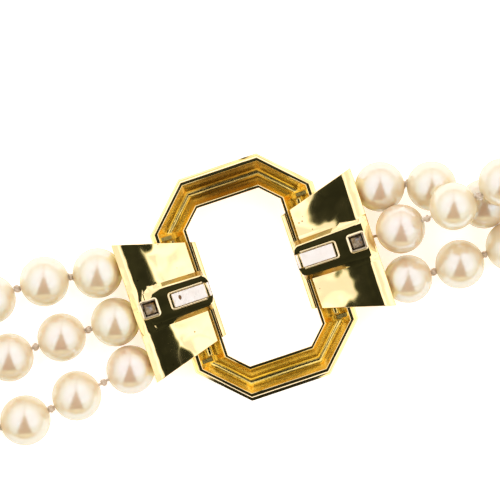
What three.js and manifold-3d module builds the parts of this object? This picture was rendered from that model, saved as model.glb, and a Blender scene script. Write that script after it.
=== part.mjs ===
// Three-strand pearl necklace with an octagonal gold link as its clasp, lying face down as a closed loop.
// Millimetres, +Z up; the table is z = 0. The clasp runs along X and its decorated front faces the table.
// The strands leave the two terminals along X, go round towards -Y and meet again.
import * as THREE from "three";
import { mergeVertices } from "three/addons/utils/BufferGeometryUtils.js";
import Module from "manifold-3d";

// ---------------------------------------------------------------- driving dimensions: pearls and silk
const PEARL_R = 3.55; // mean radius of the pearls
const PEARL_SPREAD = 0.07; // a pearl's radius differs by up to this much
const BEAD_PITCH = 8.1; // pearl, knot, pearl
const DRILL_R = 0.5; // drill hole of a pearl, and thread hole of a terminal
const SILK_R = 0.2;
const KNOT_R = 0.45;
const KNOT_HALF = 0.24; // from the middle of a knot to the bare silk
const KNOT_GAP = 0.3; // between two solids of one strand, in the middle of a knot
const SINGLE_BEADS = 6; // pearls at each strand end that are pieces of their own
const STRETCHES = 3; // solids that the rest of a strand is joined into

// ---------------------------------------------------------------- driving dimensions: the loop
// Two side arcs leave the clasp's axis, and one wide arc closes them.
const LANE_PITCH = 8.2; // between strands that lie side by side
const STRAIGHT = 40; // from the middle of the link to where the side arcs start
const SIDE_R = 43;
const CLOSING_HALF_ANGLE = THREE.MathUtils.degToRad(52);
const CLOSING_R = SIDE_R + STRAIGHT / Math.sin(CLOSING_HALF_ANGLE);
const CLOSING_Y = STRAIGHT / Math.tan(CLOSING_HALF_ANGLE) - SIDE_R; // its centre

// ---------------------------------------------------------------- driving dimensions: the clasp
// The two rims of the link: their distance in its section, and on plan how far out its sides and its
// ends lie, and x + y along its corner cuts.
const LINK_RIMS = { distance: [6.35, 10.19], side: [7.25, 11.38], end: [12.05, 15.88], cut: [16.7, 21.55] };
const END_WALL = { x: [9.4, 11.2], y: [8.95, 9.5], z: [2.4, 4.6] }; // across the channel, by a terminal
const TERMINAL_Y = { right: 0.1, left: 0.45 }; // how far each terminal has slid along the link
const HOLE_ROW_PITCH = 7.3; // between the three thread holes of a terminal
const HOLE_Z = 3.6;
const HOLE_DEPTH = 1.2;
const LIP = { x: [6.4, 6.95], z: [1.9, 4.95], fall: 0.25 }; // the front plate's lip inside the link
const PLATE_X = [7.8, 17.9]; // the back plate
const PLATE_Z = { top: 6.9, pearlEdge: 6.4, under: 5.45 };
// The plate is straight from the link to CROWN.start, then crowned with its ridge at CROWN.x and a
// fall in 1/mm, and has a chamfer from CROWN.end to the pearls.
const CROWN = { start: 12.3, x: 15.7, fall: 0.026, end: 16.8, segments: 8 };
const CHANNEL = { x: 12.6, z: 1.2 }; // its far wall and its floor
const MOUTH = { x: 17.2, z: [1.7, 5.7] }; // recess that the first pearls nest in
const FAN = { narrow: 7.4, wide: 10.35 }; // half widths at the two ends of the back plate
const FRONT_Z = 0.5; // side panels of the front; the centre band is at z = 0
const PAD = { link: 4.0, pearl: 4.7, far: 17.7, top: 7.2, corner: 1.0, skirt: 0.9 }; // widths of its top
const PAD_EDGE = { out: 0.25, drop: 0.09 }; // the softened edge round its top
// Where each pad starts to fall away towards the pearls, and how steeply.
const PAD_FALL = { right: { x: 16.8, slope: 0.6 }, left: { x: 14.55, slope: 0.22 } };
const STONE = { x: 15.5, side: 1.85, table: 3.9, girdle: [4.6, 4.8], pavilion: 5.9, culet: 6.3, gap: 0.1 };
const COLLET = { wall: 0.36, top: 7.4, corner: 0.5 }; // the rim round the back of the stone's well
const CLEARANCE = 0.15; // round the tongues
const TONGUE = { tip: 6.45, root: 11.8, width: 2.0, top: 7.15, thickness: 0.55 };
const TONGUE_GROOVE = { x: [6.8, 7.02], depth: 0.25 };
const SILL = { x: 11.2, z: 6.35 }; // step in the slot under the tongue's root

// ---------------------------------------------------------------- materials
const gold = new THREE.MeshStandardMaterial({ color: 0xe8c468, metalness: 1, roughness: 0.12 });
const whiteGold = new THREE.MeshStandardMaterial({ color: 0xdedad2, metalness: 1, roughness: 0.28 });
const nacre = new THREE.MeshStandardMaterial({ color: 0xf4e9d2, metalness: 0, roughness: 0.22 });
const silk = new THREE.MeshStandardMaterial({ color: 0xe9dcc0, metalness: 0, roughness: 0.8 });
const diamond = new THREE.MeshStandardMaterial({ color: 0xb9bcc4, metalness: 0, roughness: 0.05 });

// ---------------------------------------------------------------- helpers
const wasm = await Module();
wasm.setup();

function solid(geometry) {
  const bare = new THREE.BufferGeometry();
  bare.setAttribute("position", geometry.getAttribute("position"));
  if (geometry.index) bare.setIndex(geometry.index);
  const merged = mergeVertices(bare, 1e-4);
  const vertProperties = merged.attributes.position.array;
  const triVerts = new Uint32Array(merged.index.array);
  return new wasm.Manifold(new wasm.Mesh({ numProp: 3, vertProperties, triVerts }));
}

function geometryOf(manifold) {
  const { vertProperties, triVerts } = manifold.getMesh();
  const geometry = new THREE.BufferGeometry();
  geometry.setAttribute("position", new THREE.BufferAttribute(vertProperties, 3));
  geometry.setIndex(new THREE.BufferAttribute(triVerts, 1));
  geometry.computeVertexNormals();
  return geometry;
}

function box(x, y, z) {
  const geometry = new THREE.BoxGeometry(x[1] - x[0], y[1] - y[0], z[1] - z[0]);
  geometry.translate((x[0] + x[1]) / 2, (y[0] + y[1]) / 2, (z[0] + z[1]) / 2);
  return solid(geometry);
}

// A plan outline raised from one height to another, its edges drawn in by the draft.
function raised(shape, low, high, draft = 0) {
  const geometry = new THREE.ExtrudeGeometry(shape, {
    depth: high - low - 2 * draft,
    bevelEnabled: draft > 0,
    bevelThickness: draft,
    bevelSize: draft,
    bevelOffset: -draft,
    bevelSegments: 1,
    curveSegments: 3,
  });
  geometry.translate(0, 0, low + draft);
  return solid(geometry);
}

// A section drawn in x and z, carried along Y.
function carriedAcross(shape, width) {
  const geometry = new THREE.ExtrudeGeometry(shape, { depth: width, bevelEnabled: false, curveSegments: 8 });
  geometry.rotateX(Math.PI / 2);
  geometry.translate(0, width / 2, 0);
  return solid(geometry);
}

// A profile of [radius, distance along the axis] turned about +Y.
function turned(profile, segments, start = 0) {
  const points = profile.map(([radius, along]) => new THREE.Vector2(radius, along));
  return new THREE.LatheGeometry(points, segments, start);
}

// ---------------------------------------------------------------- the octagonal link
// A pressed shell, open at the back: a flared outer flank with a step, two rims, a channel with
// sloping walls and a narrow flat bottom, and a flat band between slopes on the front. The section
// gives distances from the link's axis to its sides, and heights.
const LINK_SECTION = [
  [11.05, 2.5],
  [9.75, 1.5],
  [7.35, 1.5],
  [6.25, 2.5],
  [6.2, 5.2],
  [6.6, 5.2],
  [6.9, 4.8],
  [8.0, 2.4],
  [8.9, 2.4],
  [9.15, 2.9],
  [9.95, 5.2],
  [10.45, 5.2],
  [10.8, 3.6],
  [11.05, 3.4],
  [11.05, 2.5],
];

// The two corners of the link in +X and +Y, at a distance in its section.
function linkCorners(distance) {
  const [inner, outer] = LINK_RIMS.distance;
  const share = (distance - inner) / (outer - inner);
  const between = (rims) => THREE.MathUtils.lerp(...rims, share);
  const [side, end, cut] = [LINK_RIMS.side, LINK_RIMS.end, LINK_RIMS.cut].map(between);
  return { onSide: [side, cut - side], onEnd: [cut - end, end] };
}

function octagonalLink() {
  const sideToCorner = 1 / Math.cos(Math.PI / 8);
  const profile = LINK_SECTION.map(([distance, z]) => [distance * sideToCorner, -z]);
  const geometry = turned(profile, 8, Math.PI / 8);
  geometry.rotateX(-Math.PI / 2);
  const at = geometry.getAttribute("position");
  for (let i = 0; i < at.count; i++) {
    const [x, y] = [at.getX(i), at.getY(i)];
    const corners = linkCorners(Math.hypot(x, y) / sideToCorner);
    const [far, up] = Math.abs(x) > Math.abs(y) ? corners.onSide : corners.onEnd;
    at.setXY(i, Math.sign(x) * far, Math.sign(y) * up);
  }
  const mirrored = ([near, far]) => [-far, -near];
  let made = solid(geometry);
  for (const x of [END_WALL.x, mirrored(END_WALL.x)]) {
    for (const y of [END_WALL.y, mirrored(END_WALL.y)]) made = made.add(box(x, y, END_WALL.z));
  }
  return geometryOf(made);
}

// ---------------------------------------------------------------- a terminal, as on the +X side
// The height of the back plate: straight, then gently crowned, then the chamfer at the pearls.
function plateTop(x) {
  const inCrown = THREE.MathUtils.clamp(x, CROWN.start, CROWN.end);
  const crown = PLATE_Z.top - CROWN.fall * (inCrown - CROWN.x) ** 2;
  if (x < CROWN.start) return crown - 2 * CROWN.fall * (CROWN.x - CROWN.start) * (CROWN.start - x);
  const share = (x - inCrown) / (PLATE_X[1] - CROWN.end);
  return THREE.MathUtils.lerp(crown, PLATE_Z.pearlEdge, share);
}

// Places along X at which the back plate's crown turns, from the link outwards.
function crownStations() {
  const step = (CROWN.end - CROWN.start) / CROWN.segments;
  return [...Array(CROWN.segments + 1).keys()].map((i) => CROWN.start + i * step);
}

// The section across it: a front plate that turns up into the lip, a back plate with a hollow
// between them for the link's side, and the end wall with the mouth for the first pearls.
function terminalSection() {
  const shape = new THREE.Shape();
  shape.moveTo(PLATE_X[1], 1.0);
  shape.lineTo(MOUTH.x, MOUTH.z[0]);
  shape.lineTo(MOUTH.x, MOUTH.z[1]);
  shape.lineTo(PLATE_X[1], MOUTH.z[1] + 0.3);
  shape.lineTo(PLATE_X[1], PLATE_Z.pearlEdge);
  for (const x of crownStations().reverse()) shape.lineTo(x, plateTop(x));
  shape.lineTo(PLATE_X[0], plateTop(PLATE_X[0]));
  shape.lineTo(PLATE_X[0], PLATE_Z.under);
  shape.lineTo(CHANNEL.x, PLATE_Z.under);
  shape.lineTo(CHANNEL.x, CHANNEL.z);
  shape.lineTo(LIP.x[1], CHANNEL.z);
  shape.lineTo(LIP.x[1], LIP.z[1]);
  shape.lineTo(LIP.x[0] + 0.05, LIP.z[1] - LIP.fall);
  shape.lineTo(LIP.x[0], LIP.z[1] - LIP.fall - 0.1);
  shape.lineTo(LIP.x[0], LIP.z[0]);
  shape.quadraticCurveTo(LIP.x[0], FRONT_Z + 0.1, LIP.x[0] + 2, FRONT_Z);
  shape.lineTo(15.2, FRONT_Z);
  return shape;
}

function fanHalfWidth(x) {
  const share = (x - PLATE_X[0]) / (PLATE_X[1] - PLATE_X[0]);
  return FAN.narrow + share * (FAN.wide - FAN.narrow);
}

function fanPlan() {
  const [near, far] = [LIP.x[0] - 1, PLATE_X[1] + 1];
  const shape = new THREE.Shape();
  shape.moveTo(near, -fanHalfWidth(near));
  shape.lineTo(far, -fanHalfWidth(far));
  shape.lineTo(far, fanHalfWidth(far));
  shape.lineTo(near, fanHalfWidth(near));
  return shape;
}

// The outline of the front's centre band, round-cornered at the link and a little wider at the pearls.
function bandPlan(near) {
  const a = PAD.link / 2;
  const b = PAD.pearl / 2;
  const shape = new THREE.Shape();
  shape.moveTo(near + PAD.corner, -a);
  shape.lineTo(PLATE_X[1] - 0.6, -b);
  shape.lineTo(PLATE_X[1] - 0.6, b);
  shape.lineTo(near + PAD.corner, a);
  shape.quadraticCurveTo(near, a, near, a - PAD.corner);
  shape.lineTo(near, PAD.corner - a);
  shape.quadraticCurveTo(near, -a, near + PAD.corner, -a);
  return shape;
}

// Half the width of the pad's flat top, round-cornered at the link.
function padHalfWidth(x) {
  const share = (x - LIP.x[0]) / (PAD.far - LIP.x[0]);
  const straight = THREE.MathUtils.lerp(PAD.link, PAD.pearl, share) / 2;
  const intoCorner = Math.max(0, LIP.x[0] + PAD.corner - x);
  return straight - PAD.corner + Math.sqrt(PAD.corner ** 2 - intoCorner ** 2);
}

// The long pad down the back plate: a flat top with narrow edges, and skirts that run out onto the
// plate. It is a box whose layers are moved into place at stations along X.
function pad(fall) {
  const corner = [0, 0.06, 0.2, 0.4, 0.7, 1].map((share) => LIP.x[0] + share * PAD.corner);
  const stations = [...corner, 7.8, 9, 10.5, ...crownStations(), PAD.far];
  const geometry = new THREE.BoxGeometry(1, 1, 1, stations.length - 1, 1, 3);
  const at = geometry.getAttribute("position");
  for (let i = 0; i < at.count; i++) {
    const x = stations[Math.round((at.getX(i) + 0.5) * (stations.length - 1))];
    const layer = Math.round((at.getZ(i) + 0.5) * 3);
    const skirt = Math.min(PAD.skirt, PAD_EDGE.out + 0.1 + x - LIP.x[0]);
    const top = PAD.top - Math.max(0, x - fall.x) * fall.slope;
    const foot = Math.max(PLATE_Z.under + 0.1, plateTop(Math.max(x, PLATE_X[0])) - 0.05);
    const out = [skirt, skirt, PAD_EDGE.out, 0][layer];
    const z = [PLATE_Z.under, Math.min(foot, top - PAD_EDGE.drop - 0.05), top - PAD_EDGE.drop, top][layer];
    at.setXYZ(i, x, Math.sign(at.getY(i)) * (padHalfWidth(x) + out), z);
  }
  return solid(geometry);
}

// The rounded square of the collet that shows at the back of the pad.
function colletPlan() {
  const half = STONE.side / 2 + STONE.gap + COLLET.wall;
  const straight = half - COLLET.corner;
  const shape = new THREE.Shape();
  for (let i = 0; i < 4; i++) {
    const turn = (i * Math.PI) / 2;
    shape.absarc(
      STONE.x + straight * Math.SQRT2 * Math.cos(turn + Math.PI / 4),
      straight * Math.SQRT2 * Math.sin(turn + Math.PI / 4),
      COLLET.corner,
      turn,
      turn + Math.PI / 2,
    );
  }
  return shape;
}

function terminal(fall) {
  const above = PAD.top + 1;
  const shell = carriedAcross(terminalSection(), 30).intersect(raised(fanPlan(), -1, above));
  const collet = raised(colletPlan(), PLATE_Z.under, COLLET.top, COLLET.wall / 3);
  const band = raised(bandPlan(LIP.x[0] + 1.3), 0, CHANNEL.z - 0.1);
  const postHalf = PAD.link / 2 - 0.4;
  const post = box(LIP.x, [-postHalf, postHalf], [LIP.z[1] - 0.4, PLATE_Z.under + 0.3]);

  const slotHalf = TONGUE.width / 2 + CLEARANCE;
  const slotEnd = TONGUE.root + TONGUE.thickness / 2 + CLEARANCE;
  const slot = box([0, SILL.x], [-slotHalf, slotHalf], [PLATE_Z.under, above]);
  const slotRoot = box([0, slotEnd], [-slotHalf, slotHalf], [SILL.z, above]);
  const wellHalf = STONE.side / 2 + STONE.gap;
  const well = box([STONE.x - wellHalf, STONE.x + wellHalf], [-wellHalf, wellHalf], [-1, above]);

  let made = shell.add(pad(fall)).add(collet).add(band).add(post);
  made = made.subtract(slot).subtract(slotRoot).subtract(well);
  for (const row of [-1, 0, 1]) {
    const hole = new THREE.CylinderGeometry(DRILL_R, DRILL_R, 2 * HOLE_DEPTH, 8);
    hole.rotateZ(Math.PI / 2);
    hole.translate(MOUTH.x, row * HOLE_ROW_PITCH, HOLE_Z);
    made = made.subtract(solid(hole));
  }
  return geometryOf(made);
}

// White-gold spring tongue: a flat bar that turns on its round root, with a groove near its tip.
function tongue() {
  const half = TONGUE.width / 2;
  const bar = box([TONGUE.tip, TONGUE.root], [-half, half], [TONGUE.top - TONGUE.thickness, TONGUE.top]);
  const knuckle = new THREE.CylinderGeometry(TONGUE.thickness / 2, TONGUE.thickness / 2, TONGUE.width, 12);
  knuckle.translate(TONGUE.root, 0, TONGUE.top - TONGUE.thickness / 2);
  const groove = box(TONGUE_GROOVE.x, [-2, 2], [TONGUE.top - TONGUE_GROOVE.depth, TONGUE.top + 1]);
  return geometryOf(bar.add(solid(knuckle)).subtract(groove));
}

// Square-cut stone with its table towards the front and its point towards the open back.
function stone() {
  const corner = (STONE.side / 2) * Math.SQRT2;
  const profile = [
    [0, -STONE.culet],
    [corner * 0.55, -STONE.pavilion],
    [corner, -STONE.girdle[1]],
    [corner, -STONE.girdle[0]],
    [corner * 0.7, -STONE.table],
    [0, -STONE.table],
  ];
  const geometry = turned(profile, 4, Math.PI / 4);
  geometry.rotateX(-Math.PI / 2);
  geometry.translate(STONE.x, 0, 0);
  return geometry;
}

// ---------------------------------------------------------------- the lie of the strands
const SIDE_LENGTH = SIDE_R * (Math.PI - CLOSING_HALF_ANGLE);
const HALF_LOOP = STRAIGHT + SIDE_LENGTH + CLOSING_R * CLOSING_HALF_ANGLE;

// The point at the distance s along the middle lane, from the middle of the link round by +X, set
// `out` millimetres outside that lane.
function lanePoint(s, out) {
  if (s > HALF_LOOP) {
    const mirrored = lanePoint(2 * HALF_LOOP - s, out);
    return mirrored.setX(-mirrored.x);
  }
  if (s < STRAIGHT) return new THREE.Vector3(s, out, PEARL_R);
  const onSide = s < STRAIGHT + SIDE_LENGTH;
  const turn = onSide
    ? (s - STRAIGHT) / SIDE_R
    : Math.PI - CLOSING_HALF_ANGLE + (s - STRAIGHT - SIDE_LENGTH) / CLOSING_R;
  const [x, y, r] = onSide ? [STRAIGHT, -SIDE_R, SIDE_R] : [0, CLOSING_Y, CLOSING_R];
  return new THREE.Vector3(x + (r + out) * Math.sin(turn), y + (r + out) * Math.cos(turn), PEARL_R);
}

// The pearls next to the clasp, as they lie, outwards from each terminal: x, y, and the height that
// a pearl is lifted off the table. The strand of the right terminal's middle hole climbs over its
// neighbour and changes lanes with it. hole: 1 is the upper one in +Y.
const STRANDS = [
  {
    name: "outer",
    lane: LANE_PITCH,
    left: { hole: 1, laid: [[-21.1, 7.65, 0], [-28.7, 8.95, 0], [-36.7, 8.9, 0]] },
    right: {
      hole: 0,
      laid: [[21.95, -0.1, 2.4], [29.9, 0.6, 5.9], [37.6, 1.6, 6.3], [44.9, 4.6, 3.9], [52.5, 6.5, 0]],
    },
  },
  {
    name: "middle",
    lane: 0,
    left: { hole: 0, laid: [[-20.9, 0.2, 0], [-28.9, 0.55, 0], [-36.9, 0.2, 0]] },
    right: { hole: 1, laid: [[21.15, 6.55, 0], [28.2, 4.3, 0], [34.5, -0.5, 0], [42.4, -1.1, 0]] },
  },
  {
    name: "inner",
    lane: -LANE_PITCH,
    left: { hole: -1, laid: [[-21.0, -6.95, 0], [-29.5, -8.05, 0], [-37.6, -9.05, 0]] },
    right: { hole: -1, laid: [[20.8, -7.25, 0], [28.5, -7.6, 0], [36.2, -7.4, 0]] },
  },
];

function pearlRadius(strand, index) {
  return PEARL_R + PEARL_SPREAD * Math.sin(5.3 * index + 2.1 * STRANDS.indexOf(strand));
}

// The length along the lane where the first pearl after the laid ones sits.
function laneStart(laid, side, lane) {
  const [x, y] = laid.at(-1);
  const last = new THREE.Vector3(x, y, PEARL_R);
  let s = Math.abs(x);
  while (lanePoint(s, lane).distanceTo(last.clone().setX(side * x)) < BEAD_PITCH) s += 0.02;
  return s;
}

// Points at equal steps along a lane, from its right-hand start round to its left-hand one.
function evenly(from, to, lane) {
  const fine = 4000;
  const track = [];
  let length = 0;
  for (let i = 0; i <= fine; i++) {
    const point = lanePoint(from + ((to - from) * i) / fine, lane);
    if (i > 0) length += point.distanceTo(track.at(-1).point);
    track.push({ point, length });
  }
  const gaps = Math.round(length / BEAD_PITCH);
  const marks = [...Array(gaps + 1).keys()].map((i) => (length * i) / gaps);
  return marks.map((mark) => track.find((entry) => entry.length >= mark - 1e-6).point);
}

// The centres of a strand's pearls, from the right terminal round the loop to the left one.
function pearlCentres(strand) {
  const from = laneStart(strand.right.laid, 1, strand.lane);
  const to = 2 * HALF_LOOP - laneStart(strand.left.laid, -1, strand.lane);
  const laid = (end) => end.laid.map(([x, y, lift]) => new THREE.Vector3(x, y, PEARL_R + lift));
  const centres = [...laid(strand.right), ...evenly(from, to, strand.lane), ...laid(strand.left).reverse()];
  return centres.map((centre, i) => centre.setZ(centre.z - PEARL_R + pearlRadius(strand, i)));
}

// ---------------------------------------------------------------- pearls, silk and strings
// A place with +Y along the silk and +Z as nearly up as can be.
function frameAt(origin, direction) {
  const along = direction.clone().normalize();
  const side = along.clone().cross(new THREE.Vector3(0, 0, 1)).normalize();
  const frame = new THREE.Matrix4().makeBasis(side, along, side.clone().cross(along));
  return frame.setPosition(origin);
}

// For each pearl its own frame, and for each gap the frame of its knot. The first and last gaps lie
// in the thread holes of the terminals. A pearl's frame is scaled to its size.
function strandFrames(strand) {
  const centres = pearlCentres(strand);
  const exit = (side, hole) => {
    const y = hole * HOLE_ROW_PITCH + TERMINAL_Y[side];
    return new THREE.Vector3(side === "right" ? MOUTH.x : -MOUTH.x, y, HOLE_Z);
  };
  const ends = [exit("right", strand.right.hole), ...centres, exit("left", strand.left.hole)];
  const pearls = centres.map((centre, i) => {
    const size = pearlRadius(strand, i) / PEARL_R;
    return frameAt(centre, ends[i + 2].clone().sub(ends[i])).scale(new THREE.Vector3(size, size, size));
  });
  const tip = (frame, along) => new THREE.Vector3(0, along, 0).applyMatrix4(frame);
  const knots = pearls.slice(1).map((next, i) => {
    const [from, to] = [tip(pearls[i], PEARL_R), tip(next, -PEARL_R)];
    return frameAt(from.clone().lerp(to, 0.5), to.clone().sub(from));
  });
  const inHole = (point) => frameAt(point, new THREE.Vector3(-1, 0, 0));
  return { pearls, knots: [inHole(ends[0]), ...knots, inHole(ends.at(-1))] };
}

// The same frames counted from the other end of the strand.
function turnedRound(frames) {
  const halfTurn = new THREE.Matrix4().makeRotationZ(Math.PI);
  const reversed = (list) => list.toReversed().map((frame) => frame.clone().multiply(halfTurn));
  return { pearls: reversed(frames.pearls), knots: reversed(frames.knots) };
}

// Bends a straight string, with a pearl at each whole multiple of the pitch, onto its strand.
function laidOnStrand(geometry, frames, first) {
  const at = geometry.getAttribute("position");
  const point = new THREE.Vector3();
  for (let i = 0; i < at.count; i++) {
    point.fromBufferAttribute(at, i);
    const nearest = Math.round(point.y / BEAD_PITCH);
    const offset = point.y - nearest * BEAD_PITCH;
    const inKnot = Math.abs(offset) > PEARL_R;
    point.y = inKnot ? offset - Math.sign(offset) * (BEAD_PITCH / 2) : offset;
    const knot = frames.knots[first + nearest + (offset > 0 ? 1 : 0)];
    point.applyMatrix4(inKnot ? knot : frames.pearls[first + nearest]);
    at.setXYZ(i, point.x, point.y, point.z);
  }
  return geometry;
}

function arc(from, to, steps) {
  const angles = [...Array(steps + 1).keys()].map((i) => from + ((to - from) * i) / steps);
  return angles.map((angle) => [PEARL_R * Math.cos(angle), PEARL_R * Math.sin(angle)]);
}

function drilledPearl() {
  const edge = Math.acos(DRILL_R / PEARL_R);
  const outside = arc(-edge, edge, 6);
  return turned([...outside, outside[0]], 8);
}

// The silk through the single pearls of a strand end, from a terminal's hole to the last knot.
function knottedSilk(count) {
  const profile = [[0, -BEAD_PITCH / 2], [SILK_R, -BEAD_PITCH / 2]];
  for (let i = 0; i < count; i++) {
    const middle = i * BEAD_PITCH;
    const knot = middle + BEAD_PITCH / 2;
    profile.push([SILK_R, middle - 3.3], [SILK_R, middle + 3.3], [SILK_R, knot - KNOT_HALF]);
    if (i < count - 1) profile.push([KNOT_R, knot - 0.08], [KNOT_R, knot + 0.08], [SILK_R, knot + KNOT_HALF]);
  }
  const end = (count - 0.5) * BEAD_PITCH - KNOT_GAP / 2;
  profile.push([KNOT_R, end], [0, end]);
  return turned(profile, 5);
}

// Pearls and knots joined along their silk, as one solid.
function joinedString(count) {
  const start = KNOT_GAP / 2 - BEAD_PITCH / 2;
  const profile = [[0, start], [KNOT_R, start]];
  const edge = Math.acos((2 * SILK_R + KNOT_R) / PEARL_R);
  for (let i = 0; i < count; i++) {
    const middle = i * BEAD_PITCH;
    const knot = middle + BEAD_PITCH / 2;
    profile.push(...arc(-edge, edge, 4).map(([radius, along]) => [radius, middle + along]));
    if (i < count - 1) profile.push([KNOT_R, knot - 0.2], [KNOT_R, knot + 0.2]);
  }
  const end = (count - 1) * BEAD_PITCH - start;
  profile.push([KNOT_R, end], [0, end]);
  return turned(profile, 6);
}

// ---------------------------------------------------------------- assembly
const group = new THREE.Group();

function place(name, geometry, material, holder = group) {
  const mesh = new THREE.Mesh(geometry, material);
  mesh.name = name;
  holder.add(mesh);
  return mesh;
}

place("octagonal_link", octagonalLink(), gold);
for (const [side, turn] of [["right", 0], ["left", Math.PI]]) {
  const half = new THREE.Group();
  half.rotation.z = turn;
  half.position.y = TERMINAL_Y[side];
  group.add(half);
  place(`${side}_terminal`, terminal(PAD_FALL[side]), gold, half);
  place(`${side}_tongue`, tongue(), whiteGold, half);
  place(`${side}_stone`, stone(), diamond, half);
}

for (const strand of STRANDS) {
  const frames = strandFrames(strand);
  for (const [side, own] of [["right", frames], ["left", turnedRound(frames)]]) {
    const prefix = `${strand.name}_${side}`;
    for (let i = 1; i <= SINGLE_BEADS; i++) {
      place(`${prefix}_pearl_${i}`, drilledPearl(), nacre).applyMatrix4(own.pearls[i - 1]);
    }
    place(`${prefix}_silk`, laidOnStrand(knottedSilk(SINGLE_BEADS), own, 0), silk);
  }
  const joined = frames.pearls.length - 2 * SINGLE_BEADS;
  for (let i = 0; i < STRETCHES; i++) {
    const from = Math.round((joined * i) / STRETCHES);
    const to = Math.round((joined * (i + 1)) / STRETCHES);
    const string = laidOnStrand(joinedString(to - from), frames, SINGLE_BEADS + from);
    place(`${strand.name}_string_${i + 1}`, string, nacre);
  }
}

// The part's own origin: the middle of its outline on the table.
const bounds = new THREE.Box3().setFromObject(group, true);
const middle = bounds.getCenter(new THREE.Vector3());
group.position.set(-middle.x, -middle.y, -bounds.min.z);

export default group;
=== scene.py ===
"""Three-strand pearl necklace, lying face down: the finish of its pearls, silk and gold."""

import math
import random

import bpy
from mathutils import Matrix, Vector


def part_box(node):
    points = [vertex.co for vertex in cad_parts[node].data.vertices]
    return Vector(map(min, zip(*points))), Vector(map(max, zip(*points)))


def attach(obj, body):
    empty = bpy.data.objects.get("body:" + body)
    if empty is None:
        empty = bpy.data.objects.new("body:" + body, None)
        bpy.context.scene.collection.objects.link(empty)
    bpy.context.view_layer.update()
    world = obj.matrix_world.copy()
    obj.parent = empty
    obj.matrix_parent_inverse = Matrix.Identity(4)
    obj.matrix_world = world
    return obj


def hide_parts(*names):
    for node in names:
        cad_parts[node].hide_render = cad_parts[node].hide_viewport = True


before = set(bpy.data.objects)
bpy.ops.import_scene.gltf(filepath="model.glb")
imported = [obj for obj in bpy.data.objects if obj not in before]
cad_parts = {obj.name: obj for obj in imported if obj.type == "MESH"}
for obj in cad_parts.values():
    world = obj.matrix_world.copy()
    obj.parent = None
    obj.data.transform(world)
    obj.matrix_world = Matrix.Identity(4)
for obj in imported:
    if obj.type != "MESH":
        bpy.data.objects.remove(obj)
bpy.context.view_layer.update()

MM = 0.001
STRANDS = ("outer", "middle", "inner")
SINGLE_PEARLS = 6
STRETCHES = 3
OUTWARDS = {"right": 1, "left": -1}  # along X, from the link to a terminal's pearls
# The thread hole that each strand leaves from, counted upwards from the middle one.
THREAD_HOLES = {
    "outer": {"right": 0, "left": 1},
    "middle": {"right": 1, "left": 0},
    "inner": {"right": -1, "left": -1},
}
HOLE_ROW_PITCH = 7.3 * MM
HOLE_X = 17.2 * MM
HOLE_Z = 3.6 * MM
SILK_R = 0.2 * MM

# ---------------------------------------------------------------- sizes of the clasp, in mm
# Places are x and y from the middle of the link. Heights are above the table.
# The rims of the link on plan, from the inner one to the outer one: how far out its sides and its
# ends lie, and x + y along its corner cuts.
RIM_SIDES = (7.25, 11.38)
RIM_ENDS = (12.05, 15.88)
RIM_CUTS = (16.7, 21.55)
# Heights of the link's front, of the bottom inside it, of the step round its outside and of its rims.
LINK_FRONT = 1.5
CHANNEL_FLOOR = 2.4
LINK_STEP = 3.4
LINK_RIM = 5.2
STEP_RAISED = 0.12  # so that the step slopes enough to catch the light
# Faces inside the link: their share of the way from the inner rim to the outer one, and their heights.
CHANNEL_SHARES = (0.1, 0.92)
CHANNEL_HEIGHTS = (2.2, 5.1)
DARKER_STRETCH = (0.5, 14.8, 3.5, 8.0)  # the darkest stretch of the channel: place, height and radius
PLATE_MIDDLE = 6.4  # height of the plates of the terminals, in the middle of their slopes
# Places where the pressed plates have sprung a little full: place, radius and height of the swelling.
FULL_PLACES = (
    (11.0, 8.1, 4.6, 0.32),
    (10.4, -8.6, 3.4, 0.18),
    (-11.0, 9.8, 3.2, 0.15),
    (-10.9, -7.8, 2.9, 0.18),
)
# Pin holes in the polish: each is a dark spot of painted shade, with no hole modelled.
PIN_HOLES = ((8.5, 5.3), (9.0, 5.4), (-15.9, 4.8), (-10.5, -4.7))  # in the polish
PIN_HOLE_R = 0.11
PLATE_UNDER = 5.3  # a height just below the plates
LIP_REACH = 7.0  # the lip that holds the link from inside lies nearer than this
LIP_HEIGHTS = (4.5, 5.0)  # its upper edge lies between these
PAD_TOP = 7.2
PAD_FOOT = 3.45  # from the middle of a pad to where its skirts meet the plates
# Faces of the skirts beside the slot: from the middle of the pad, how far out they reach, and heights.
SKIRT_ACROSS = (2.2, 3.3)
SKIRT_REACH = 12.7
SKIRT_HEIGHTS = (5.5, 7.12)
COLLET_FROM = 7.22  # heights above which there is only the collet, and only its upper edge
COLLET_EDGE = 7.35
SLOT_NEAR = 6.9  # where the slot of each pad opens
SLOT_END = 12.25
SLOT_HALF = 1.13  # half its width
# The top of the left pad falls in the CAD from FALL_START, by FALL for each mm. It is levelled, and
# folded again past FOLD_START and past a line that cuts off its upper corner. FOLD_LINE is the
# direction across that line, outwards and along +Y, and the line's distance from the middle.
FALL_START = 14.55
FALL = 0.22
FOLD_START = 17.1
FOLD_FALL = 0.8
FOLD_LINE = (0.27, 0.963, 5.98)
CORNER_FALL = 0.3
LEFT_PAD_HALF = 2.75  # from its middle to the edge of its top
# The same two folds as cuts: a point on each, and the direction across it.
LEFT_PAD_FOLDS = (((-17.1, 0, 0), (1, 0, 0)), ((-14.65, 2.1, 0), (-0.27, 0.963, 0)))
BROWN_SPOT = (-10.95, 0.6)  # brown spot on the left tongue
BROWN_SPOT_SIZE = 0.75
# The groove across each tongue: its near side lies in the first span and its far side in the second.
GROOVE_SPANS = (6.7, 6.9, 7.12)
GROOVE_WIDENED = (0.06, 0.12)  # towards the link and away from it
GROOVE_FLOOR = (6.7, 7.2)
GROOVE_TOP = 7.0  # height
STONE_BACK = 5.9  # height of the stones' broad back facets
dice = random.Random(7)


# ---------------------------------------------------------------- places, from the frame
def middle_of(node):
    low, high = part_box(node)
    return (low + high) / 2


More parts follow.
